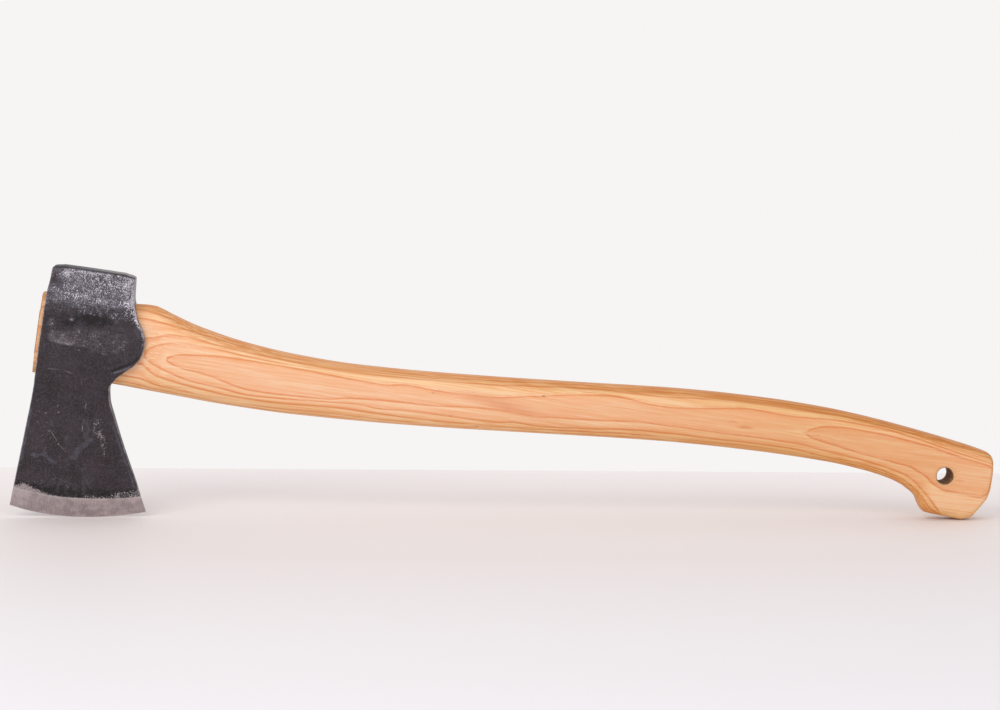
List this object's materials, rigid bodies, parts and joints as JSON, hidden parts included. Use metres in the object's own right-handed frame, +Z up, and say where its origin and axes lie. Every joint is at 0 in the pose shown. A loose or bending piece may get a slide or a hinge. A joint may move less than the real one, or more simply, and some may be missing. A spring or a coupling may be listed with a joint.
{
  "type": "felling axe",
  "caption": "Single-bit felling axe with a forged head, flared blade and rear lugs, hung on a curved hickory haft with a drilled knob.",
  "frame": {"origin": "centre of the bounding box's bottom face: on the floor, halfway along the axe, in the plane of the blade", "axes": "+X from the head to the knob, +Y across the thickness, +Z up with the axe standing on its cutting edge and knob"},
  "size_m": [0.6432, 0.0276, 0.1632],
  "materials": {
    "forged_steel": "black forge scale, worn bright at the arrises, with a satin ground bevel",
    "hickory": "sanded and oiled hickory with growth-ring figure",
    "wedge_wood": "sawn hardwood, cut flush and oiled",
    "wedge_steel": "dull pressed steel with hammer marks"
  },
  "bodies": {
    "root": {"axe_head": "forged_steel", "haft": "hickory", "wooden_wedge": "wedge_wood", "steel_wedge": "wedge_steel"}
  },
  "joints": []
}
